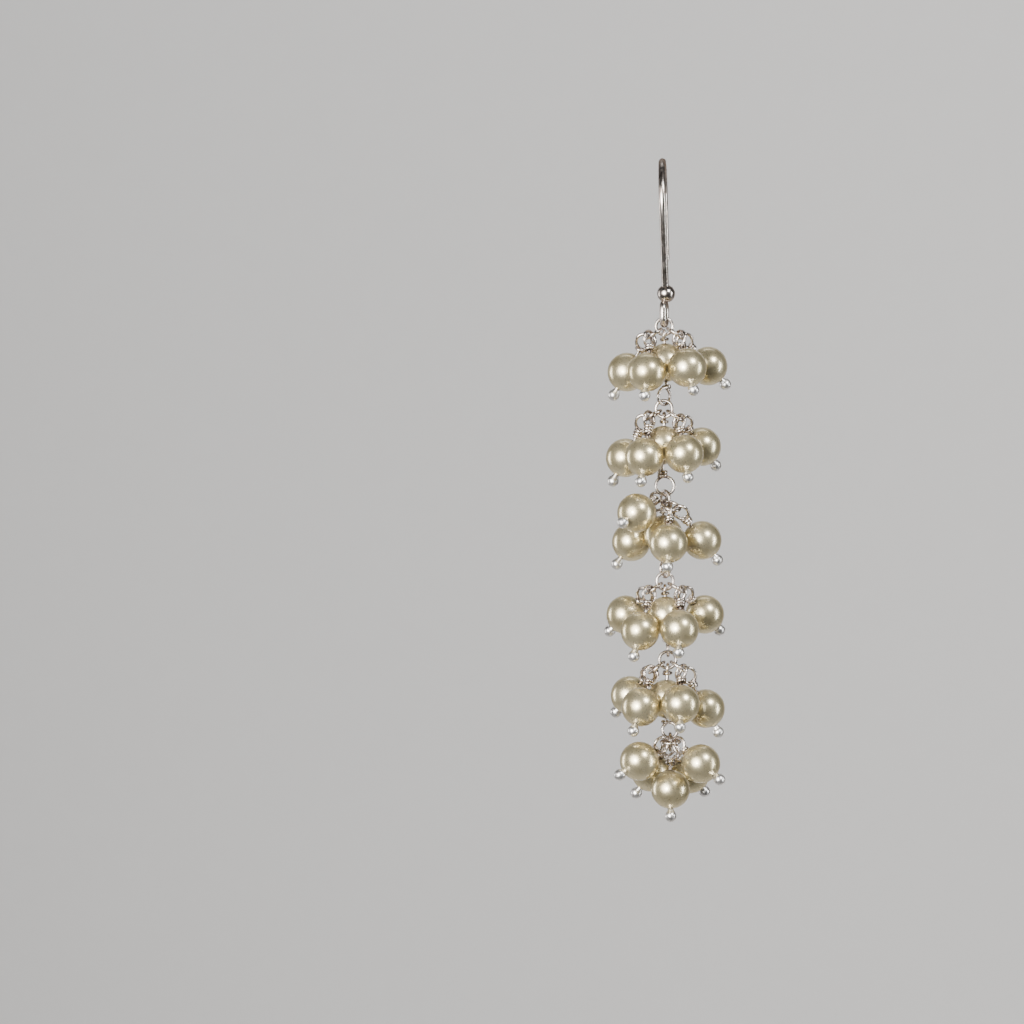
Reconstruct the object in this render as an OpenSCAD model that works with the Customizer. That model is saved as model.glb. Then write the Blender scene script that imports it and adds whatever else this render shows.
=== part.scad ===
// Cluster earring: a french ear hook that carries a chain of six clusters of drilled pearls.
// Millimetres, +Z up, the wearer's front towards -Y. The origin is the underside of the hook's
// bend, where the ear carries it.

/* [Pearls] */
// Diameter of a pearl
pearl_d = 4; // [3.8:0.05:4]
// Diameter of the hole drilled through a pearl
drill_d = 0.5; // [0.44:0.02:0.6]

/* [Fine wire] */
// Thickness of the wire of rings, links and pins
wire_d = 0.32; // [0.28:0.01:0.32]
// Clear gap where one loop hangs in another
hang_gap = 0.1; // [0.06:0.01:0.12]
// Clear gap between a pearl and the wire turns that hold it
seat_gap = 0.03; // [0.02:0.01:0.06]
// Rise from one turn of a wrap to the next
wrap_step = 0.3; // [0.26:0.01:0.31]

/* [Rings and loops] */
// Width of a ring, from wire centre to wire centre
ring_w = 1.7; // [1.66:0.01:1.76]
// Width of a side link, from wire centre to wire centre
link_w = 1.86; // [1.8:0.01:1.9]
// Width of a head pin's loop, from wire centre to wire centre
pin_loop_w = 1.5; // [1.4:0.01:1.56]
// Width of the small loop over each spine pearl, from wire centre to wire centre
spine_loop_w = 0.84; // [0.8:0.01:0.9]

/* [Head pins] */
// Diameter of the melted ball at the end of a head pin
ball_d = 1.22; // [1.1:0.02:1.3]
// Bare wire between a pearl and the ball
neck_l = 0.18; // [0.1:0.02:0.3]

/* [Ear hook] */
// Thickness of the hook's wire
hook_wire_d = 0.72; // [0.7:0.01:0.75]
// Radius of the hook's bend, at the wire's centre
bend_r = 4.2; // [4:0.1:5]
// Slant of the front leg from the vertical, degrees
leg_slant = 20; // [16:1:22]
// Lean of the hook to the left above its bead, degrees
hook_lean = 1.5; // [0:0.5:3]
// Turn of the hook about the vertical, degrees
hook_turn = 3; // [0:1:6]
// Length of the straight tail behind the ear
tail_l = 5.6; // [5:0.1:7]
// Depth of the hook's bead below the bend
bead_drop = 13.2; // [12.8:0.1:13.4]
// Diameter of the bead
bead_d = 1.82; // [1.7:0.02:1.9]
// Width of the hook's eye, from wire centre to wire centre
eye_w = 1.4; // [1.3:0.05:1.5]
// Turn of the eye about the vertical, degrees
eye_turn = 12; // [0:1:15]
// Depth of the eye's lowest wire centre below the bend
eye_drop = 16.33; // [16.2:0.01:16.4]
// Sideways place of the eye
eye_x = 0.15; // [0:0.05:0.3]
// Depth to which the eye is let into the bead
eye_sink = 0.25; // [0.2:0.01:0.3]

/* [Hidden] */
pearl_r = pearl_d / 2;
wire_r = wire_d / 2;
ring_r = ring_w / 2;
link_r = link_w / 2;
pin_loop_r = pin_loop_w / 2;
spine_loop_r = spine_loop_w / 2;
ball_r = ball_d / 2;
hook_r = hook_wire_d / 2;
eye_r = eye_w / 2;

// Two wires that hang in each other lie this far apart, centre to centre
hang = wire_d + hang_gap;
// The wrap's wire presses this deep into the stem
wrap_press = 0.02;
// A wrap's turns lie round the stem at this radius, the first one this high above the pearl's centre
wrap_r = wire_d - wrap_press;
wrap_base = pearl_r + wire_r + seat_gap;
// The loop's lowest wire centre lies this high above the last turn
wrap_to_loop = 0.22;
// The stem's end inside the loop's wire
stem_tip_r = 0.12;
// Straight legs are this much thinner than the bends and end this far inside them
leg_step = 0.01;
leg_sink = 0.05;
// Fine enough for smooth wire, and above the count at which a circle would be a polygon
$fn = 48;

// Depth of the front leg's foot, at the bead
leg_start_y = -bend_r * cos(leg_slant);
leg_start_z = hook_r - bend_r - bend_r * sin(leg_slant);
leg_l = (bead_drop + leg_start_z) / cos(leg_slant);
drop_y = leg_start_y + leg_l * sin(leg_slant);
bead_x = bead_drop * tan(hook_lean);
// Length of the eye's straight sides, between the bead and its lowest wire centre
eye_side_l = eye_drop - (bead_drop + bead_d / 2 - eye_sink + hook_r) - eye_w;

// Spine pins, one row each: lean to the right in degrees, slack over the pearl, turns and
// rearward offset of the small upper loop, then of the lower loop its turns, width, offset from
// the stem and the direction of that offset in degrees from +X.
LEAN = 0;
SLACK = 1;
UP_TURNS = 2;
UP_OFF = 3;
LOW_TURNS = 4;
LOW_W = 5;
LOW_OFF = 6;
LOW_DIR = 7;
SPINES = [
    [ 2.5, 0.15, 1, 0.30, 2, 1.70, 0.42, -135],
    [-2.0, 0.15, 1, 0.30, 4, 1.84, 0.30,    5],
    [ 0.0, 0.00, 1, 0.20, 2, 1.70, 0.35,  -60],
    [ 2.5, 0.00, 1, 0.30, 2, 1.44, 0.30,  -90],
    [-2.0, 0.15, 2, 0.30, 2, 1.44, 0.48,    0],
];

// Turn of each cluster's ring about the vertical, from facing the front
RING_TURN = [0, -10, 120, 0, 0, 90];

// Side links, one row each: cluster, its place round the ring in degrees from the lowest
// point, and the point that it leans towards, from the ring's centre.
TIER = 0;
HANG = 1;
AIM = 2;
LINKS = [
    [1, -55, [-2.2, -0.6, -1.5]],
    [1,  55, [ 2.2, -0.6, -1.5]],
    [2, -58, [-2.3, -0.6, -1.3]],
    [2,  58, [ 2.1, -0.5, -1.4]],
    [3,  57, [-1.8,  1.8, -1.5]],
    [3, -58, [ 1.3, -2.0, -1.4]],
    [4, -58, [-2.1, -0.4, -1.4]],
    [4,  58, [ 2.2, -0.4, -1.3]],
    [5, -58, [-2.0, -0.2, -1.4]],
    [5,  58, [ 2.1, -0.7, -1.4]],
    [6, -99, [ 0.0, -2.2, -0.1]],
];

// Head pins, one row each: cluster, the row of the link that holds it (RING for the ring
// itself), the loop's place round that link or ring in degrees from its far or lowest point,
// the pearl's centre, from the ring's centre, and the pearl's name.
ON = 1;
SEAT = 2;
TO = 3;
PEARL = 4;
RING = -1;
PINS = [
    [1,    0,  18, [-3.80,  0.90, -4.66], "1_left"],
    [1,    0, -46, [-1.84, -3.15, -4.75], "1_front_left"],
    [1,    1, -46, [ 2.27, -3.10, -4.30], "1_front_right"],
    [1,    1,  18, [ 4.54,  1.40, -4.02], "1_right"],
    [2,    2,  22, [-3.95,  1.10, -5.00], "2_left"],
    [2,    2, -46, [-2.08, -3.00, -4.95], "2_front_left"],
    [2,    3, -46, [ 1.98, -3.10, -4.64], "2_front_right"],
    [2,    3,  18, [ 3.92,  1.80, -3.85], "2_right"],
    [3, RING, 116, [-2.96, -3.20, -1.40], "3_upper_left"],
    [3,    4,   0, [-3.40,  2.30, -4.39], "3_lower_left"],
    [3,    5,  40, [ 0.25, -4.05, -4.53], "3_front"],
    [3,    5, -28, [ 3.82,  0.30, -4.21], "3_right"],
    [4,    6,  18, [-3.99,  1.90, -3.47], "4_left"],
    [4,    6, -46, [-2.60, -2.40, -5.06], "4_front_left"],
    [4,    7, -46, [ 1.37, -3.40, -4.85], "4_front_right"],
    [4,    7,  26, [ 4.14,  2.40, -3.44], "4_right"],
    [5,    8,  18, [-3.80,  2.30, -3.70], "5_left"],
    [5,    8, -46, [-2.80, -2.65, -4.73], "5_front_left"],
    [5,    9, -46, [ 1.22, -3.50, -4.42], "5_front_right"],
    [5,    9,  16, [ 3.90,  0.50, -5.00], "5_right"],
    [6,   10,  42, [-3.23, -3.80, -1.80], "6_upper_left"],
    [6,   10, -42, [ 3.02, -3.80, -2.06], "6_upper_right"],
    [6, RING, -40, [ 0.00, -1.60, -4.77], "6_front"],
    [6, RING,  64, [-1.92,  2.00, -3.20], "6_lower_left"],
    [6, RING,  14, [ 2.12,  2.20, -3.38], "6_lower_right"],
];

TIERS = [1 : len(RING_TURN)];
SPINE_TIERS = [1 : len(SPINES)];

function unit(v) = v / norm(v);
// The part of v that is square to axis, as a unit vector
function square_to(v, axis) = unit(v - (v * axis) * axis);
function heading(angle) = [cos(angle), sin(angle), 0];

// Spine: each pin's stem runs up along stem_up; its pearl's centre and the next ring follow from
// the ring above by the pin's own sizes.
function lower_r(k) = SPINES[k - 1][LOW_W] / 2;
function stem_up(k) = [-sin(SPINES[k - 1][LEAN]), 0, cos(SPINES[k - 1][LEAN])];
function ring_across(k) = heading(RING_TURN[k - 1]);
function ring_back(k) = heading(RING_TURN[k - 1] + 90);
function wrap_top(turns) = wrap_base + (turns - 1) * wrap_step + wrap_to_loop;
function loop_rise(turns, r, off) = wrap_top(turns) + sqrt(r * r - off * off);
function upper_rise(k) = SPINES[k - 1][SLACK]
    + loop_rise(SPINES[k - 1][UP_TURNS], spine_loop_r, SPINES[k - 1][UP_OFF]);
function lower_fall(k) = loop_rise(SPINES[k - 1][LOW_TURNS], lower_r(k), SPINES[k - 1][LOW_OFF]);
function upper_dir(k) = square_to(ring_back(k), stem_up(k));
function lower_dir(k) = square_to(heading(SPINES[k - 1][LOW_DIR]), stem_up(k));
function spine_pearl_at(k) = ring_at(k) - [0, 0, ring_r - hang + spine_loop_r]
    + SPINES[k - 1][UP_OFF] * upper_dir(k) - upper_rise(k) * stem_up(k);
function ring_at(k) = k == 1
    ? [eye_x, drop_y, -eye_drop - (ring_r - wire_r - hang_gap - hook_r)]
    : spine_pearl_at(k - 1) - lower_fall(k - 1) * stem_up(k - 1)
        + SPINES[k - 2][LOW_OFF] * lower_dir(k - 1) - [0, 0, lower_r(k - 1) - hang + ring_r];

// A round loop that hangs on a wire: [centre, direction it hangs in, normal of its plane].
// It hangs at seat, where the wire runs along run, and leans towards the point aim.
function hung(seat, run, aim, r) =
    let (down = unit(aim - seat), normal = square_to(run, down), slip = hang / (normal * run))
    [seat + (r - slip) * down, down, normal];
function around(loop, angle) = cos(angle) * loop[1] + sin(angle) * cross(loop[1], loop[2]);
function wire_run(loop, angle) = cross(around(loop, angle), loop[2]);

function link_tier(i) = LINKS[i][TIER];
function ring_out(k, angle) = sin(angle) * ring_across(k) - [0, 0, cos(angle)];
function on_ring(k, angle, aim, r) =
    hung(ring_at(k) + ring_r * ring_out(k, angle), cross(ring_back(k), ring_out(k, angle)), aim, r);
function link_loop(i) = on_ring(link_tier(i), LINKS[i][HANG], ring_at(link_tier(i)) + LINKS[i][AIM], link_r);

function pin_loop(p) =
    p[ON] == RING
        ? on_ring(p[TIER], p[SEAT], pin_pearl_at(p), pin_loop_r)
        : let (link = link_loop(p[ON]))
            hung(link[0] + link_r * around(link, p[SEAT]), wire_run(link, p[SEAT]),
                pin_pearl_at(p), pin_loop_r);
function pin_pearl_at(p) = ring_at(p[TIER]) + p[TO];
function pin_rise(p) = norm(pin_pearl_at(p) - pin_loop(p)[0]);
// As many turns as fit between the pearl and the loop
function pin_turns(rise) = max(1, 1 + floor((rise - pin_loop_r - wrap_base - wrap_to_loop) / wrap_step));

// Moves a child from its own axes to a place with the given X and Z directions
module place(at, x, z) {
    y = cross(z, x);
    multmatrix([
        [x[0], y[0], z[0], at[0]],
        [x[1], y[1], z[1], at[1]],
        [x[2], y[2], z[2], at[2]],
    ]) children();
}

// A round ring of wire in the XZ plane
module wire_ring(r) {
    rotate([90, 0, 0])
        rotate_extrude()
            translate([r, 0])
                circle(d = wire_d);
}

// Half outline of a wrap and its stem, from the pearl's middle up to the loop's lowest wire centre
module wrap_outline(turns, top) {
    square([wire_r, max(top - wrap_to_loop, wrap_base)]);
    square([stem_tip_r, top]);
    for (i = [0 : turns - 1])
        translate([wrap_r, wrap_base + i * wrap_step])
            circle(d = wire_d);
}

// A drilled pearl with its hole along Z
module pearl_body() {
    difference() {
        sphere(d = pearl_d);
        cylinder(d = drill_d, h = 2 * pearl_d, center = true);
    }
}

module ring(k) {
    color("silver")
        place(ring_at(k), ring_across(k), [0, 0, 1])
            wire_ring(ring_r);
}

module links(k) {
    color("silver")
        for (i = [0 : len(LINKS) - 1])
            if (link_tier(i) == k) {
                loop = link_loop(i);
                place(loop[0], around(loop, 90), loop[1])
                    wire_ring(link_r);
            }
}

// Pin through a spine pearl, with a loop at each end. Z runs up the stem from the pearl's centre.
module spine_pin(k) {
    row = SPINES[k - 1];
    color("silver")
        place(spine_pearl_at(k), upper_dir(k), stem_up(k)) {
            rotate_extrude()
                union() {
                    translate([0, row[SLACK]])
                        wrap_outline(row[UP_TURNS], wrap_top(row[UP_TURNS]));
                    square([wire_r, row[SLACK] + pearl_r]);
                }
            translate([-row[UP_OFF], 0, upper_rise(k)])
                wire_ring(spine_loop_r);
        }
    color("silver")
        place(spine_pearl_at(k), lower_dir(k), stem_up(k)) {
            mirror([0, 0, 1])
                rotate_extrude()
                    wrap_outline(row[LOW_TURNS], wrap_top(row[LOW_TURNS]));
            translate([row[LOW_OFF], 0, -lower_fall(k)])
                wire_ring(lower_r(k));
        }
}

module spine_pearl(k) {
    color("ivory")
        place(spine_pearl_at(k), upper_dir(k), stem_up(k))
            pearl_body();
}

// Head pin with a melted ball, a wrap and a round loop. Z runs up the stem from the pearl's centre.
module head_pin(rise) {
    rotate_extrude()
        intersection() {
            translate([0, -pearl_d * 2])
                square([pearl_d, pearl_d * 4]);
            union() {
                wrap_outline(pin_turns(rise), rise - pin_loop_r);
                translate([0, -pearl_r - neck_l - ball_r])
                    circle(d = ball_d);
                translate([0, -pearl_r - neck_l - ball_r])
                    square([wire_r, pearl_r + neck_l + ball_r]);
            }
        }
    translate([0, 0, rise])
        wire_ring(pin_loop_r);
}

module head_pins(k) {
    color("silver")
        for (p = PINS)
            if (p[TIER] == k)
                place(pin_pearl_at(p), around(pin_loop(p), 90), -pin_loop(p)[1])
                    head_pin(pin_rise(p));
}

module pin_pearl(p) {
    color("ivory")
        place(pin_pearl_at(p), around(pin_loop(p), 90), -pin_loop(p)[1])
            pearl_body();
}

// The hook in its own upright plane: bend, tail and front leg
module hook_wire() {
    translate([0, 0, hook_r - bend_r])
        rotate([90, 0, 90])
            rotate_extrude(angle = 180 + leg_slant)
                translate([bend_r, 0])
                    circle(r = hook_r + leg_step);
    translate([0, bend_r, hook_r - bend_r - tail_l])
        mirror([0, 0, 1])
            rotate_extrude()
                intersection() {
                    translate([0, -tail_l - leg_sink])
                        square([hook_r, tail_l * 2]);
                    union() {
                        circle(r = hook_r);
                        translate([0, -tail_l - leg_sink])
                            square([hook_r, tail_l + leg_sink]);
                    }
                }
    translate([0, leg_start_y, leg_start_z])
        rotate([leg_slant, 0, 0])
            translate([0, 0, -leg_l])
                cylinder(r = hook_r, h = leg_l + leg_sink);
}

// One round end of the hook's eye, in the XZ plane above the origin
module eye_bend() {
    rotate([90, 0, 0])
        rotate_extrude(angle = 180)
            translate([eye_r, 0])
                circle(r = hook_r + leg_step);
}

// The hook's long eye, up from its lowest wire centre
module eye() {
    translate([0, 0, eye_r])
        mirror([0, 0, 1])
            eye_bend();
    translate([0, 0, eye_r + eye_side_l])
        eye_bend();
    for (side = [-1, 1])
        translate([side * eye_r, 0, eye_r - leg_sink])
            cylinder(r = hook_r, h = eye_side_l + 2 * leg_sink);
}

module ear_hook() {
    color("silver") {
        rotate([0, -hook_lean, 0])
            rotate([0, 0, -hook_turn])
                hook_wire();
        translate([bead_x, drop_y, -bead_drop])
            sphere(d = bead_d);
        translate([eye_x, drop_y, -eye_drop])
            rotate([0, 0, 90 - eye_turn])
                eye();
    }
}

ear_hook();
for (k = TIERS) {
    ring(k);
    links(k);
    head_pins(k);
}
for (k = SPINE_TIERS) {
    spine_pin(k);
    spine_pearl(k);
}
for (p = PINS)
    pin_pearl(p);
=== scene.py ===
"""Dresses the cluster earring: lustrous pearls, wrapped silver wire, soft studio and camera.

Metres, +Z up, the front towards -Y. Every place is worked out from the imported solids.
"""

import logging
import math
from collections.abc import Iterable
from dataclasses import dataclass, field
from enum import Enum

import bmesh
import bpy
import numpy as np
from mathutils import Matrix, Vector, noise


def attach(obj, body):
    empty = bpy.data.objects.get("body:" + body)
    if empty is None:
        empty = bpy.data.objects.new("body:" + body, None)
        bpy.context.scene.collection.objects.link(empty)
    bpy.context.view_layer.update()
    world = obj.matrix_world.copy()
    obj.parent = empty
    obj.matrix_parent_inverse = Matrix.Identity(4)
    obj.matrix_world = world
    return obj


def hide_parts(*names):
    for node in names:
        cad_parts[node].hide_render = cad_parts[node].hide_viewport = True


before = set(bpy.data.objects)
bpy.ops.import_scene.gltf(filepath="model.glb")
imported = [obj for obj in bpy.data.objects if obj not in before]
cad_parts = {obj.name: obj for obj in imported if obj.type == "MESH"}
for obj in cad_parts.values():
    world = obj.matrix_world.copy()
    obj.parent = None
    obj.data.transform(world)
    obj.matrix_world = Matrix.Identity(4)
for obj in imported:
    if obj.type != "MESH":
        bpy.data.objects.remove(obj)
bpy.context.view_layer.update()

LOG = logging.getLogger("earring")
MM = 0.001
# The body that hangs from the hook's eye, on which every new piece rides
HANGING = "drop"
# Wire of rings, links and pins, and a pearl with its hole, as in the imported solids
WIRE_RADIUS = 0.16 * MM
PEARL_RADIUS = 2.0 * MM
DRILL_RADIUS = 0.25 * MM
# Points closer than this are one
SAME_POINT = 0.001 * MM
# Faces that meet at a sharper angle keep a crisp edge
CRISP_ANGLE = math.radians(50)


class Slot(Enum):
    """Material slots of the record."""

    PEARL = "pearl"
    SILVER = "silver"


class Way(Enum):
    """Which end of a pin's stem a loop is on."""

    UP = 1
    DOWN = -1


# Shader nodes


class Shader:
    """A material's node tree with short calls for the nodes that the finishes share."""

    def __init__(self, name: str) -> None:
        """Starts an empty material of that name with one Principled surface.

        Args:
            name: the material's name.
        """
        self.material = bpy.data.materials.new(name)
        self.material.use_nodes = True
        self.tree = self.material.node_tree
        self.tree.nodes.clear()
        self.surface = self.tree.nodes.new("ShaderNodeBsdfPrincipled")
        output = self.tree.nodes.new("ShaderNodeOutputMaterial")
        self.link(self.surface.outputs["BSDF"], output.inputs["Surface"])
        self.place = self.tree.nodes.new("ShaderNodeTexCoord").outputs["Object"]

    def link(self, source: bpy.types.NodeSocket, target: bpy.types.NodeSocket) -> None:
        """Joins two sockets."""
        self.tree.links.new(source, target)

    def fixed(self, **values: float | tuple[float, ...]) -> None:
        """Sets constants on the surface's own sockets.

        Args:
            values: socket names, with underscores for spaces, and their values.
        """
        for name, value in values.items():
            self.surface.inputs[name.replace("_", " ")].default_value = value

    def stretched(self, scale: tuple[float, float, float]) -> bpy.types.NodeSocket:
        """Object coordinates with their own scale on each axis.

        Args:
            scale: factors along X, Y and Z.

        Returns:
            The vector socket.
        """
        mapping = self.tree.nodes.new("ShaderNodeMapping")
        mapping.inputs["Scale"].default_value = scale
        self.link(self.place, mapping.inputs["Vector"])
        return mapping.outputs["Vector"]

    def mottle(
        self, grain: float, detail: float = 3, vector: bpy.types.NodeSocket | None = None
    ) -> bpy.types.NodeSocket:
        """Cloudy noise.

        Args:
            grain: size of one patch, in metres.
            detail: octaves of finer noise.
            vector: coordinates, or None for the object's own.

        Returns:
            The noise's factor socket.
        """
        node = self.tree.nodes.new("ShaderNodeTexNoise")
        node.inputs["Scale"].default_value = 1 / grain
        node.inputs["Detail"].default_value = detail
        self.link(vector or self.place, node.inputs["Vector"])
        return node.outputs["Fac"]

    def between(
        self, factor: bpy.types.NodeSocket, low: float, high: float, start: float = 0.3, end: float = 0.7
    ) -> bpy.types.NodeSocket:
        """Maps a factor to a range of values.

        Args:
            factor: the factor socket.
            low: value at start.
            high: value at end.
            start: factor at which the range starts.
            end: factor at which it ends.

        Returns:
            The value socket.
        """
        node = self.tree.nodes.new("ShaderNodeMapRange")
        node.inputs["From Min"].default_value = start
        node.inputs["From Max"].default_value = end
        node.inputs["To Min"].default_value = low
        node.inputs["To Max"].default_value = high
        self.link(factor, node.inputs["Value"])
        return node.outputs["Result"]

    def blend(
        self,
        factor: bpy.types.NodeSocket,
        first: tuple[float, float, float] | bpy.types.NodeSocket,
        second: tuple[float, float, float],
    ) -> bpy.types.NodeSocket:
        """Mixes two colours.

        Args:
            factor: how much of the second.
            first: colour at 0, or a colour socket.
            second: colour at 1.

        Returns:
            The colour socket.
        """
        node = self.tree.nodes.new("ShaderNodeMix")
        node.data_type = "RGBA"
        if isinstance(first, tuple):
            node.inputs["A"].default_value = (*first, 1)
        else:
            self.link(first, node.inputs["A"])
        node.inputs["B"].default_value = (*second, 1)
        self.link(factor, node.inputs["Factor"])
        return node.outputs["Result"]

    def bumped(self, height: bpy.types.NodeSocket, depth: float, strength: float) -> None:
        """Gives the surface a fine relief.

        Args:
            height: the height socket, 0 to 1.
            depth: height of the relief, in metres.
            strength: how strongly it shows.
        """
        node = self.tree.nodes.new("ShaderNodeBump")
        node.inputs["Distance"].default_value = depth
        node.inputs["Strength"].default_value = strength
        self.link(height, node.inputs["Height"])
        self.link(node.outputs["Normal"], self.surface.inputs["Normal"])


@dataclass(frozen=True)
class PearlLustre:
    """Cream pearl: a satin body under a clear, brighter skin."""

    cream: tuple[float, float, float] = (0.79, 0.70, 0.46)
    olive: tuple[float, float, float] = (0.49, 0.40, 0.19)
    edge: tuple[float, float, float] = (0.46, 0.36, 0.16)
    cloud: float = 1.6 * MM
    clouded: float = 0.55
    speck: float = 0.16 * MM
    specked: float = 0.06
    body_gloss: tuple[float, float] = (0.26, 0.34)
    relief: float = 0.002 * MM

    def material(self) -> bpy.types.Material:
        """The pearls' material, with cloudy colour and fine specks."""
        shader = Shader("cream_pearl")
        cloudy = shader.between(shader.mottle(self.cloud), 0.0, self.clouded)
        specks = shader.mottle(self.speck, detail=2)
        specked = shader.between(specks, 0.0, self.specked, start=0.50, end=0.72)
        tint = shader.blend(cloudy, self.cream, self.olive)
        shader.link(shader.blend(specked, tint, self.olive), shader.surface.inputs["Base Color"])
        shader.link(shader.between(specks, *self.body_gloss), shader.surface.inputs["Roughness"])
        shader.fixed(Metallic=0.86, Specular_Tint=(*self.edge, 1))
        shader.fixed(Coat_Weight=0.8, Coat_Roughness=0.08, Coat_IOR=1.5)
        shader.bumped(specks, self.relief, strength=0.12)
        return shader.material


@dataclass(frozen=True)
class BareCore:
    """The uncoated core of a pearl, seen in its hole."""

    tone: tuple[float, float, float] = (0.62, 0.56, 0.46)
    dirt: tuple[float, float, float] = (0.20, 0.16, 0.11)
    patch: float = 0.3 * MM
    soiled: tuple[float, float] = (0.1, 0.9)

    def material(self) -> bpy.types.Material:
        """The core's material, soiled in places."""
        shader = Shader("pearl_core")
        soiled = shader.between(shader.mottle(self.patch), *self.soiled)
        shader.link(shader.blend(soiled, self.tone, self.dirt), shader.surface.inputs["Base Color"])
        shader.fixed(Roughness=0.7)
        return shader.material


@dataclass(frozen=True)
class SilverFinish:
    """Polished silver with fine scratches and a little tarnish."""

    bright: tuple[float, float, float] = (0.68, 0.62, 0.57)
    tarnish: tuple[float, float, float] = (0.28, 0.21, 0.16)
    edge: tuple[float, float, float] = (0.20, 0.15, 0.12)
    patch: float = 1.3 * MM
    dulled: float = 0.6
    scratch: float = 0.4 * MM
    drawn: tuple[float, float, float] = (1, 1, 0.15)
    gloss: tuple[float, float] = (0.18, 0.34)
    relief: float = 0.001 * MM

    def material(self) -> bpy.types.Material:
        """The metal's material, brighter and duller in patches."""
        shader = Shader("worn_silver")
        patches = shader.mottle(self.patch, detail=4)
        scratches = shader.mottle(self.scratch, detail=2, vector=shader.stretched(self.drawn))
        dulled = shader.between(patches, 0.0, self.dulled, start=0.44, end=0.70)
        shader.link(shader.blend(dulled, self.bright, self.tarnish), shader.surface.inputs["Base Color"])
        shader.link(shader.between(scratches, *self.gloss), shader.surface.inputs["Roughness"])
        shader.fixed(Metallic=1.0, Specular_Tint=(*self.edge, 1))
        shader.bumped(scratches, self.relief, strength=0.3)
        return shader.material


@dataclass(frozen=True)
class MeltedSilver:
    """The skin of the melted balls: bright, matt and finely pitted."""

    bright: tuple[float, float, float] = (0.95, 0.93, 0.90)
    pit: tuple[float, float, float] = (0.28, 0.24, 0.21)
    edge: tuple[float, float, float] = (0.55, 0.50, 0.46)
    grain: float = 0.22 * MM
    pitted: float = 0.8
    gloss: tuple[float, float] = (0.28, 0.45)
    relief: float = 0.03 * MM

    def material(self) -> bpy.types.Material:
        """The balls' material."""
        shader = Shader("melted_silver")
        grain = shader.mottle(self.grain, detail=4)
        pits = shader.between(grain, 0.0, self.pitted, start=0.56, end=0.72)
        shader.link(shader.blend(pits, self.bright, self.pit), shader.surface.inputs["Base Color"])
        shader.link(shader.between(grain, *self.gloss), shader.surface.inputs["Roughness"])
        shader.fixed(Metallic=1.0, Specular_Tint=(*self.edge, 1))
        shader.bumped(grain, self.relief, strength=0.6)
        return shader.material


@dataclass(frozen=True)
class StudioPaper:
    """Matt pale paper of the sweep."""

    tone: tuple[float, float, float] = (0.70, 0.69, 0.68)
    shade: float = 0.97
    tooth: float = 4 * MM

    def material(self) -> bpy.types.Material:
        """The sweep's material, with a faint tooth."""
        shader = Shader("studio_paper")
        shaded = tuple(self.shade * part for part in self.tone)
        toothed = shader.blend(shader.mottle(self.tooth), self.tone, shaded)
        shader.link(toothed, shader.surface.inputs["Base Color"])
        shader.fixed(Roughness=0.9)
        return shader.material


# Places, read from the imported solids


@dataclass(frozen=True)
class Loop:
    """A round loop at one end of a pin's stem, in the pin's own upright plane.

    Fields are the direction from pearl to loop, the sideways direction in the loop's plane, the
    height of the loop's centre over the pearl's, its sideways offset and its wire-centre radius.
    """

    along: Vector
    across: Vector
    rise: float
    offset: float
    radius: float


@dataclass(frozen=True)
class PearlPlace:
    """Where a pearl is, and the way its hole runs."""

    centre: Vector
    up: Vector


def points_of(node: str) -> np.ndarray:
    """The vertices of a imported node, one row each."""
    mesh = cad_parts[node].data
    flat = np.empty(len(mesh.vertices) * 3)
    mesh.vertices.foreach_get("co", flat)
    return flat.reshape(-1, 3)


def loose_parts(node: str) -> list[np.ndarray]:
    """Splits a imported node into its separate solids.

    Args:
        node: the node's name.

    Returns:
        The vertices of each solid.
    """
    bm = bmesh.new()
    bm.from_mesh(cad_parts[node].data)
    bmesh.ops.remove_doubles(bm, verts=bm.verts, dist=SAME_POINT)
    waiting = dict.fromkeys(bm.verts)
    parts = []
    while waiting:
        front = [waiting.popitem()[0]]
        group = []
        while front:
            vert = front.pop()
            group.append(tuple(vert.co))
            for edge in vert.link_edges:
                other = edge.other_vert(vert)
                if other in waiting:
                    del waiting[other]
                    front.append(other)
        parts.append(np.array(group))
    bm.free()
    return parts


def pearl_place(node: str) -> PearlPlace:
    """Finds a pearl's centre from its round skin and its axis from the hole's wall.

    Args:
        node: the pearl's node.

    Returns:
        The pearl's place, with up towards the loop that it hangs from.
    """
    # A face is part of the hole's wall where it looks less than this outwards
    wall_facing = 0.5
    points = points_of(node) / MM
    system = np.c_[2 * points, np.ones(len(points))]
    centre = np.linalg.lstsq(system, (points**2).sum(axis=1), rcond=None)[0][:3] * MM
    middle = Vector(centre)
    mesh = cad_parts[node].data
    wall = {
        index
        for face in mesh.polygons
        if abs(face.normal.dot((face.center - middle).normalized())) < wall_facing
        for index in face.vertices
    }
    rims = np.array([mesh.vertices[index].co for index in wall]) - centre
    up = Vector(np.linalg.svd(rims, full_matrices=False)[2][0]).normalized()
    return PearlPlace(middle, up if up.z > 0 else -up)


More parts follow.
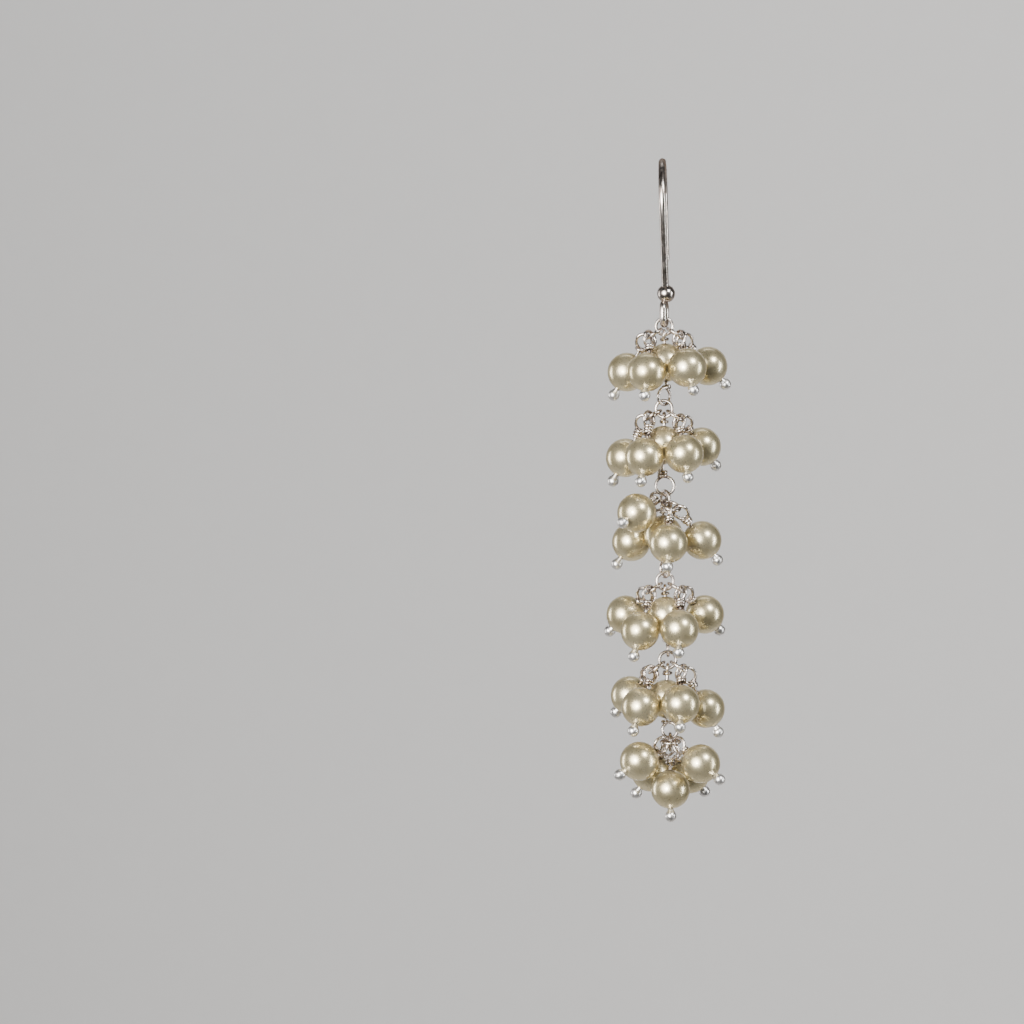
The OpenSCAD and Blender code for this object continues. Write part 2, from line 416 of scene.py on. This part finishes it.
def loop_place(points: np.ndarray, pearl: PearlPlace, way: Way) -> Loop:
    """Measures the loop at one end of a pin.

    Args:
        points: the pin's vertices.
        pearl: the place of the pearl on it.
        way: which end.

    Returns:
        The loop's place.
    """
    # The tip that is measured, and the part of it that is too flat to give a radius
    reach = 0.5 * MM
    shallow = 0.2 * MM
    along = pearl.up * way.value
    local = points - np.array(pearl.centre)
    height = local @ np.array(along)
    depth = height.max() - height
    tip = local[depth < reach]
    flat = tip - np.outer(tip @ np.array(along), np.array(along))
    across = Vector(np.linalg.svd(flat - flat.mean(axis=0), full_matrices=False)[2][0])
    across = (across - across.dot(along) * along).normalized()
    side = flat @ np.array(across)
    offset = (side.max() + side.min()) / 2
    if offset < 0:
        across, side, offset = -across, -side, -offset
    tip_depth = depth[depth < reach]
    curved = tip_depth > shallow
    outside = ((side[curved] - offset) ** 2 + tip_depth[curved] ** 2) / (2 * tip_depth[curved])
    outer = outside.max()
    rise = float(height.max() - outer)
    return Loop(along, across, rise, float(offset), float(outer - WIRE_RADIUS))


def ball_end(part: np.ndarray, pearl: PearlPlace, reach: float, radius: float) -> int:
    """Counts a pin's vertices on the ball under a pearl.

    Args:
        part: the pin's vertices.
        pearl: the pearl's place.
        reach: from the pearl's centre to the ball's.
        radius: the ball's radius.

    Returns:
        How many of the vertices are on or in that ball.
    """
    ball = np.array(pearl.centre - pearl.up * reach)
    away = np.linalg.norm(part - ball, axis=1)
    return int((away < radius + SAME_POINT).sum())


# Making


def only(kind: type, items: Iterable) -> list:
    """The items of one kind, such as edges."""
    return [item for item in items if isinstance(item, kind)]


def placed(origin: Vector, x: Vector, z: Vector) -> Matrix:
    """The transform to an origin with the given X and Z directions."""
    turn = Matrix((x, z.cross(x), z)).transposed().to_4x4()
    return Matrix.Translation(origin) @ turn


def finished(
    bm: bmesh.types.BMesh, name: str, materials: list[bpy.types.Material], nodes: Iterable[str]
) -> bpy.types.Object:
    """Makes a piece of the earring from a finished shape.

    Args:
        bm: the shape, in its place. It is freed.
        name: the piece's name.
        materials: its materials, in the order of its faces' material numbers.
        nodes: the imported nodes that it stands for.

    Returns:
        The new object, riding on the hanging body.
    """
    bmesh.ops.recalc_face_normals(bm, faces=bm.faces)
    mesh = bpy.data.meshes.new(name)
    bm.to_mesh(mesh)
    bm.free()
    mesh.shade_smooth()
    mesh.set_sharp_from_angle(angle=CRISP_ANGLE)
    for material in materials:
        mesh.materials.append(material)
    piece = bpy.data.objects.new(name, mesh)
    bpy.context.scene.collection.objects.link(piece)
    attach(piece, HANGING)
    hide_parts(*nodes)
    LOG.info("%s: %d faces", name, len(mesh.polygons))
    return piece


@dataclass
class Wire:
    """Round wire that is drawn stretch by stretch along its path."""

    bm: bmesh.types.BMesh
    radius: float = WIRE_RADIUS
    sides: int = 12
    end: list[bmesh.types.BMEdge] = field(default_factory=list)

    def start(self, at: Vector, heading: Vector) -> None:
        """Begins the wire with a closed end.

        Args:
            at: the end's centre.
            heading: the way the wire sets off.
        """
        turn = heading.to_track_quat("Z", "Y").to_matrix().to_4x4()
        disc = bmesh.ops.create_circle(
            self.bm, cap_ends=True, radius=self.radius, segments=self.sides,
            matrix=Matrix.Translation(at) @ turn,
        )
        self.end = list({edge for vert in disc["verts"] for edge in vert.link_edges})

    def run(self, move: Vector) -> None:
        """Draws a straight stretch."""
        grown = bmesh.ops.extrude_edge_only(self.bm, edges=self.end)["geom"]
        verts = only(bmesh.types.BMVert, grown)
        bmesh.ops.translate(self.bm, verts=verts, vec=move)
        edges = only(bmesh.types.BMEdge, grown)
        self.end = [edge for edge in edges if all(vert in verts for vert in edge.verts)]

    def bend(
        self, centre: Vector, axis: Vector, angle: float, slide: Vector | None = None, turn_steps: int = 32
    ) -> None:
        """Draws an arc, or a coil where it slides.

        Args:
            centre: the arc's centre.
            axis: its axis, by the right-hand rule.
            angle: its angle, in radians.
            slide: how far the wire moves in all besides its turn.
            turn_steps: steps in a full turn.
        """
        steps = max(2, round(turn_steps * angle / math.tau))
        step_slide = (slide or Vector()) / steps
        spun = bmesh.ops.spin(
            self.bm, geom=self.end, cent=centre, axis=axis, dvec=step_slide, angle=angle, steps=steps,
            use_duplicate=False,
        )
        self.end = only(bmesh.types.BMEdge, spun["geom_last"])

    def cut(self) -> None:
        """Closes the wire's end."""
        bmesh.ops.holes_fill(self.bm, edges=self.end, sides=self.sides)


@dataclass
class DrilledPearl:
    """A round pearl with its hole, a little out of true as real ones are."""

    lustre: bpy.types.Material
    core: bpy.types.Material
    radius: float = PEARL_RADIUS
    drill: float = DRILL_RADIUS
    wobble: float = 0.012 * MM
    wobbles_per_metre: float = 420
    variety: float = 900
    around: int = 48
    rows: int = 32

    def build(self, name: str, node: str, place: PearlPlace) -> bpy.types.Object:
        """Makes one pearl.

        Args:
            name: the piece's name.
            node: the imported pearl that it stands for.
            place: where it is.

        Returns:
            The pearl.
        """
        bm = bmesh.new()
        bmesh.ops.create_uvsphere(bm, u_segments=self.around, v_segments=self.rows, radius=self.radius)
        poles = [vert for vert in bm.verts if abs(vert.co.z) > self.radius - SAME_POINT]
        bmesh.ops.delete(bm, geom=poles, context="VERTS")
        rims = [edge for edge in bm.edges if edge.is_boundary]
        rim_height = math.sqrt(self.radius**2 - self.drill**2)
        for vert in {vert for edge in rims for vert in edge.verts}:
            flat = Vector((vert.co.x, vert.co.y, 0)).normalized() * self.drill
            vert.co = flat + Vector((0, 0, math.copysign(rim_height, vert.co.z)))
        for vert in bm.verts:
            swell = noise.noise(place.centre * self.variety + vert.co * self.wobbles_per_metre)
            vert.co *= 1 - self.wobble / self.radius * (0.5 + 0.5 * swell)
        for face in bmesh.ops.bridge_loops(bm, edges=rims)["faces"]:
            face.material_index = 1
        bm.transform(placed(place.centre, place.up.orthogonal().normalized(), place.up))
        return finished(bm, name, [self.lustre, self.core], [node])


@dataclass
class WrappedPin:
    """Fine wire through a pearl, bent into a loop whose end is wrapped down round the stem."""

    silver: bpy.types.Material
    coil: float = 0.30 * MM
    step: float = 0.315 * MM
    least_turns: float = 1.2
    bend: float = 0.3 * MM
    crossing: float = 0.28 * MM
    lowest_turn: float = 2.2 * MM
    last_quarter: float = math.radians(100)
    coil_steps: int = 24

    def draw_loop(self, bm: bmesh.types.BMesh, pearl: PearlPlace, loop: Loop, start: float) -> None:
        """Draws the stem from start, its loop and the wrap.

        The stem bends aside and runs three quarters round the loop. Over the last stretch it
        slides in front of the stem, crosses it, and coils down round it.

        Args:
            bm: the shape that it is added to.
            pearl: the place of the pearl.
            loop: the loop's measures.
            start: where the stem starts, from the pearl's centre towards the loop.
        """
        depth = loop.along.cross(loop.across)

        def at(side: float, height: float) -> Vector:
            """The point that far aside and along from the pearl's centre."""
            return pearl.centre + side * loop.across + height * loop.along

        span = self.bend + loop.radius
        lift = math.sqrt(span**2 - (loop.offset + self.bend) ** 2)
        neck = loop.rise - lift
        lean = math.atan2(lift, loop.offset + self.bend)
        room = loop.rise - loop.radius - self.lowest_turn
        crossing = min(self.crossing, room / 2)
        strand = Wire(bm)
        strand.start(at(0, start), loop.along)
        strand.run((neck - start) * loop.along)
        strand.bend(at(-self.bend, neck), -depth, lean)
        middle = at(loop.offset, loop.rise)
        three_quarters = 0.75 * math.tau
        strand.bend(middle, depth, lean + three_quarters - self.last_quarter)
        slide = -self.coil * depth - crossing * loop.along
        strand.bend(middle, depth, self.last_quarter, slide)
        strand.run(-loop.offset * loop.across)
        drop = room - crossing
        turns = max(self.least_turns, drop / self.step)
        foot = at(0, loop.rise - loop.radius - crossing)
        strand.bend(foot, -loop.along, turns * math.tau, -drop * loop.along, self.coil_steps)
        strand.cut()


@dataclass
class HeadPins(WrappedPin):
    """A cluster's ball-ended pins."""

    melted: bpy.types.Material = field(kw_only=True)
    ball: float = 0.61 * MM
    neck: float = 0.18 * MM
    shoulder: float = 0.42 * MM
    taper: float = 0.6
    swelling: float = 0.05
    swells_per_metre: float = 1500
    variety: float = 1100

    def ball_reach(self) -> float:
        """How far the ball's centre lies below the pearl's."""
        return PEARL_RADIUS + self.neck + self.ball

    def draw_ball(self, bm: bmesh.types.BMesh, pearl: PearlPlace) -> None:
        """Melts the pin's foot into a ball, a little uneven, with a short neck.

        Args:
            bm: the shape that it is added to.
            pearl: the place of the pearl that it holds.
        """
        place = pearl.centre - self.ball_reach() * pearl.up
        turn = placed(place, pearl.up.orthogonal().normalized(), pearl.up)
        ball = bmesh.ops.create_uvsphere(bm, u_segments=28, v_segments=18, radius=self.ball)["verts"]
        for vert in ball:
            swell = noise.noise(pearl.centre * self.variety + vert.co * self.swells_per_metre)
            vert.co *= 1 + self.swelling * (swell - 0.5)
        bmesh.ops.transform(bm, matrix=turn, verts=ball)
        neck = bmesh.ops.create_cone(
            bm, cap_ends=True, segments=20, radius1=self.shoulder, radius2=self.taper * self.shoulder,
            depth=2 * self.neck,
        )["verts"]
        seat = turn @ Matrix.Translation((0, 0, self.ball))
        bmesh.ops.transform(bm, matrix=seat, verts=neck)
        for face in {face for vert in ball + neck for face in vert.link_faces}:
            face.material_index = 1

    def build(self, cluster: int, pearls: list[PearlPlace]) -> bpy.types.Object:
        """Makes a cluster's pins as one piece.

        Args:
            cluster: the cluster's number.
            pearls: the places of its hanging pearls.

        Returns:
            The pins.
        """
        node = f"head_pins_{cluster}"
        parts = loose_parts(node)
        reach = self.ball_reach()
        bm = bmesh.new()
        for pearl in pearls:
            own = max(parts, key=lambda part: ball_end(part, pearl, reach, self.ball))
            self.draw_ball(bm, pearl)
            self.draw_loop(bm, pearl, loop_place(own, pearl, Way.UP), -reach)
        return finished(bm, f"wrapped_pins_{cluster}", [self.silver, self.melted], [node])


@dataclass
class SpinePins(WrappedPin):
    """The pins through the middle pearls, with a loop at each end."""

    bend: float = 0.16 * MM

    def build(self, cluster: int, pearl: PearlPlace) -> bpy.types.Object:
        """Makes one cluster's spine pin.

        Args:
            cluster: the cluster's number.
            pearl: the place of its middle pearl.

        Returns:
            The pin.
        """
        node = f"spine_pin_{cluster}"
        points = points_of(node)
        bm = bmesh.new()
        for way in Way:
            self.draw_loop(bm, pearl, loop_place(points, pearl, way), 0)
        return finished(bm, f"wrapped_spine_{cluster}", [self.silver], [node])


@dataclass
class JumpRings:
    """Round rings of wire, each bent from a cut length until its ends all but meet."""

    silver: bpy.types.Material
    seam: float = 0.025 * MM
    slip: float = 0.03 * MM
    steps: int = 44
    facing: tuple[float, float, float] = (0.5, 1.0, 0.2)

    def draw(self, bm: bmesh.types.BMesh, points: np.ndarray) -> None:
        """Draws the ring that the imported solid's vertices describe.

        Args:
            bm: the shape that it is added to.
            points: the solid's vertices.
        """
        middle = points.mean(axis=0)
        normal = Vector(np.linalg.svd(points - middle, full_matrices=False)[2][2])
        axis = normal if normal.dot(Vector(self.facing)) > 0 else -normal
        out = axis.orthogonal().normalized()
        centre = Vector(middle)
        spans = []
        for way in (out, axis.cross(out)):
            span = (points - middle) @ np.array(way)
            centre += way * float(span.max() + span.min()) / 2
            spans.append(float(span.max() - span.min()))
        radius = sum(spans) / 4 - WIRE_RADIUS
        strand = Wire(bm)
        strand.start(centre + radius * out, axis.cross(out))
        turn = math.tau - self.seam / radius
        strand.bend(centre, axis, turn, self.slip * axis, self.steps)
        strand.cut()

    def build(self, node: str) -> bpy.types.Object:
        """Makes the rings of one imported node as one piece.

        Args:
            node: the node's name.

        Returns:
            The rings.
        """
        bm = bmesh.new()
        for points in loose_parts(node):
            self.draw(bm, points)
        return finished(bm, f"bent_{node}", [self.silver], [node])


# Studio


@dataclass(frozen=True)
class Lamp:
    """A soft light that looks at one point.

    Fields are its name, the direction and distance from that point to it, its width and height,
    its power, its tone and the width of its beam in degrees.
    """

    name: str
    way: tuple[float, float, float]
    away: float
    size: tuple[float, float]
    watts: float
    tone: tuple[float, float, float] = (1, 1, 1)
    beam: float = 60

    def build(self, target: Vector) -> None:
        """Hangs the light.

        Args:
            target: the point it looks at.
        """
        light = bpy.data.lights.new(self.name, "AREA")
        light.shape = "ELLIPSE"
        light.size, light.size_y = self.size
        light.energy = self.watts
        light.color = self.tone
        light.spread = math.radians(self.beam)
        lamp = bpy.data.objects.new(self.name, light)
        outward = Vector(self.way).normalized()
        lamp.location = target + outward * self.away
        lamp.rotation_euler = outward.to_track_quat("Z", "Y").to_euler()
        bpy.context.scene.collection.objects.link(lamp)


@dataclass
class Studio:
    """Pale sweep, soft lights and the photograph's level camera."""

    pixels: int = 1024
    pixels_per_mm: float = 9.75
    origin_column: float = 662.5
    origin_row: float = 165.3
    distance: float = 0.6
    sensor: float = 36.0
    clip: tuple[float, float] = (0.01, 10)
    floor: float = -0.45
    half_width: float = 4.0
    sweep: float = 0.25
    sweep_steps: int = 24
    back: float = 0.36
    front: float = -4.0
    room_tone: tuple[float, float, float] = (0.86, 0.88, 0.90)
    room_glow: float = 0.04

    def build_sweep(self) -> bpy.types.Object:
        """Makes the floor that curves up into the backdrop."""
        bm = bmesh.new()
        middle = Matrix.Translation((0, (self.front + self.back) / 2, self.floor))
        stretch = Matrix.Diagonal((self.half_width, (self.back - self.front) / 2, 1, 1))
        bmesh.ops.create_grid(bm, x_segments=1, y_segments=1, size=1, matrix=middle @ stretch)
        rear = [edge for edge in bm.edges if all(vert.co.y > middle.translation.y for vert in edge.verts)]
        curve = bmesh.ops.spin(
            bm, geom=rear, cent=(0, self.back, self.floor + self.sweep), axis=(1, 0, 0),
            angle=math.pi / 2, steps=self.sweep_steps,
        )
        top = only(bmesh.types.BMEdge, curve["geom_last"])
        wall = only(bmesh.types.BMVert, bmesh.ops.extrude_edge_only(bm, edges=top)["geom"])
        bmesh.ops.translate(bm, verts=wall, vec=(0, 0, self.half_width))
        bmesh.ops.recalc_face_normals(bm, faces=bm.faces)
        mesh = bpy.data.meshes.new("sweep")
        bm.to_mesh(mesh)
        bm.free()
        mesh.shade_smooth()
        mesh.materials.append(StudioPaper().material())
        sweep = bpy.data.objects.new("sweep", mesh)
        bpy.context.scene.collection.objects.link(sweep)
        return sweep

    def aim(self) -> Vector:
        """The point of the earring's plane in the middle of the picture."""
        middle = self.pixels / 2
        column = (middle - self.origin_column) / self.pixels_per_mm
        row = (self.origin_row - middle) / self.pixels_per_mm
        return Vector((column * MM, 0, row * MM))

    def build_camera(self) -> None:
        """Sets the camera level in front, with the photograph's framing."""
        camera = bpy.data.cameras.new("camera")
        camera.sensor_width = self.sensor
        camera.lens = self.sensor * self.distance / (self.pixels / self.pixels_per_mm * MM)
        camera.clip_start, camera.clip_end = self.clip
        holder = bpy.data.objects.new("camera", camera)
        holder.location = self.aim() - Vector((0, self.distance, 0))
        holder.rotation_euler = (math.radians(90), 0, 0)
        bpy.context.scene.collection.objects.link(holder)
        bpy.context.scene.camera = holder

    def build_lights(self) -> None:
        """Hangs the soft lights round the earring and sets the room's glow."""
        earring = Vector((0, 0, -0.035))
        paper = Vector((0, 0.56, 0))
        round_earring = (
            Lamp("key_left", way=(-0.51, -0.83, 0.16), away=0.55, size=(0.52, 0.52), watts=1.25,
                 tone=(1.0, 0.98, 0.95)),
            Lamp("core_left", way=(-0.42, -0.90, 0.06), away=0.60, size=(0.08, 0.10), watts=0.24),
            Lamp("small_right", way=(0.49, -0.62, 0.61), away=0.50, size=(0.14, 0.14), watts=0.22),
            Lamp("strip_right", way=(0.97, -0.24, 0), away=0.32, size=(0.04, 0.34), watts=0.08,
                 tone=(0.97, 0.99, 1.0)),
            Lamp("rim_left", way=(-0.93, 0.36, 0), away=0.40, size=(0.08, 0.34), watts=0.08),
        )
        for lamp in round_earring:
            lamp.build(earring)
        Lamp("paper_fill", way=(0, -0.2, 1), away=0.60, size=(1.00, 0.40), watts=3.6, beam=90).build(paper)
        world = bpy.data.worlds.new("room")
        world.use_nodes = True
        glow = world.node_tree.nodes["Background"]
        glow.inputs["Color"].default_value = (*self.room_tone, 1)
        glow.inputs["Strength"].default_value = self.room_glow
        bpy.context.scene.world = world

    def build(self) -> None:
        """Builds the whole studio."""
        self.build_sweep()
        self.build_lights()
        self.build_camera()


@dataclass
class Earring:
    """The whole earring: packed silver nodes with their finish, and the pieces that replace the rest."""

    clusters: int = 6

    def build(self) -> None:
        """Dresses every node."""
        nodes = sorted(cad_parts)
        pearls = {node: pearl_place(node) for node in nodes if node.startswith("pearl_")}
        silver = SilverFinish().material()
        lustre = PearlLustre().material()
        for node in nodes:
            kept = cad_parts[node].data.materials
            kept[0] = lustre if node in pearls else silver
        drilled = DrilledPearl(lustre, BareCore().material())
        for node, place in pearls.items():
            drilled.build(node.replace("pearl", "nacre", 1), node, place)
        pins = HeadPins(silver, melted=MeltedSilver().material())
        spines = SpinePins(silver)
        for cluster in range(1, self.clusters + 1):
            spine = f"pearl_{cluster}_spine"
            own = [place for node, place in pearls.items()
                   if node.startswith(f"pearl_{cluster}_") and node != spine]
            pins.build(cluster, own)
            if spine in pearls:
                spines.build(cluster, pearls[spine])
        rings = JumpRings(silver)
        for node in nodes:
            if node.startswith(("ring_", "links_")):
                rings.build(node)


def main() -> None:
    """Builds the earring and its studio."""
    logging.basicConfig(level=logging.INFO, format="%(message)s")
    Earring().build()
    Studio().build()


if __name__ == "__main__":
    main()
